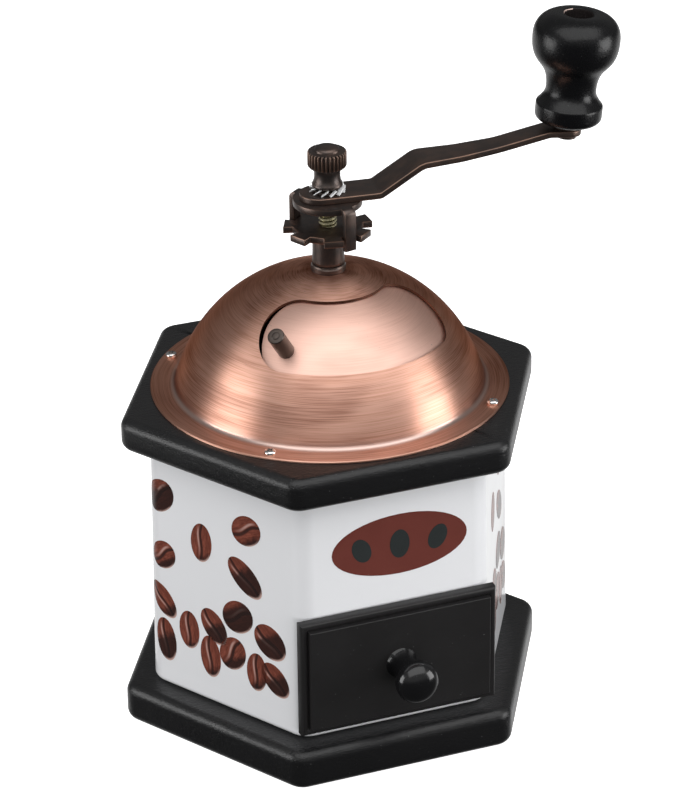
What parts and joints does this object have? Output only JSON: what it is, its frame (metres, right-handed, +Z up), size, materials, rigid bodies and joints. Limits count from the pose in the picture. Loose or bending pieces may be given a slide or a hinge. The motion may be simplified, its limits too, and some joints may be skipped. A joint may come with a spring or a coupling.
{
  "type": "hand crank coffee grinder",
  "caption": "Hand coffee grinder: hexagonal ceramic body between wooden boards, metal dome hopper with shutter, crank with turning knob, sliding drawer.",
  "frame": {"origin": "centre of the base board's underside, on the spindle's axis", "axes": "+Z up along the spindle; the drawer opens towards -Y; the base board's corners lie on X"},
  "size_m": [0.1746, 0.1483, 0.2388],
  "materials": {
    "black_wood": "satin black painted wood",
    "glazed_ceramic": "glossy white glazed ceramic",
    "drawer_wood": "plain wood",
    "steel_fastener": "zinc plated",
    "copper_sheet": "brushed antique copper",
    "bronzed_steel": "antique bronze plating",
    "cast_iron": "as cast",
    "spindle_steel": "yellow passivated zinc plating",
    "bright_chrome": "bright"
  },
  "bodies": {
    "frame": {"base_board": "black_wood", "ceramic_body": "glazed_ceramic", "top_board": "black_wood", "tie_rod_1": "steel_fastener", "tie_rod_2": "steel_fastener", "tie_rod_3": "steel_fastener", "drawer_runner_left": "drawer_wood", "drawer_runner_right": "drawer_wood", "dome_hopper": "copper_sheet", "dome_screw_1": "bright_chrome", "dome_screw_2": "bright_chrome", "dome_screw_3": "bright_chrome", "dome_screw_4": "bright_chrome", "dome_collar": "bronzed_steel", "collar_nut": "bronzed_steel", "burr_housing": "cast_iron", "housing_screw_1": "steel_fastener", "housing_screw_2": "steel_fastener", "housing_screw_3": "steel_fastener", "outer_burr": "cast_iron", "bearing_bridge": "cast_iron", "bridge_screw_1": "steel_fastener", "bridge_screw_2": "steel_fastener"},
    "crank": {"spindle": "spindle_steel", "inner_burr": "cast_iron", "burr_nut": "steel_fastener", "spindle_clip": "steel_fastener", "star_wheel": "bronzed_steel", "lock_plate": "bronzed_steel", "crank_arm": "bronzed_steel", "toothed_washer": "bright_chrome", "thumb_nut": "bronzed_steel", "knob_washer": "bronzed_steel", "knob_rivet": "bronzed_steel"},
    "crank_knob": {"knob": "black_wood"},
    "shutter": {"shutter": "copper_sheet", "shutter_pin": "bronzed_steel"},
    "drawer": {"drawer_front": "black_wood", "drawer_side_left": "drawer_wood", "drawer_side_right": "drawer_wood", "drawer_back": "drawer_wood", "drawer_floor": "drawer_wood", "drawer_knob": "black_wood", "drawer_knob_screw": "steel_fastener"}
  },
  "joints": [
    {"name": "crank_turn", "type": "hinge", "parent": "frame", "child": "crank", "pos_m": [0, 0, 0.16], "axis": [0, 0, 1], "continuous": true},
    {"name": "knob_spin", "type": "hinge", "parent": "crank", "child": "crank_knob", "pos_m": [0.08159, -0.01002, 0.19855], "axis": [0.0865, -0.0106, 0.9962], "continuous": true},
    {"name": "shutter_turn", "type": "hinge", "parent": "frame", "child": "shutter", "pos_m": [0, 0, 0.15], "axis": [0, 0, 1], "range_deg": [-8, 97]},
    {"name": "drawer_slide", "type": "slide", "parent": "frame", "child": "drawer", "axis": [0, -1, 0], "range_m": [0, 0.068]}
  ]
}
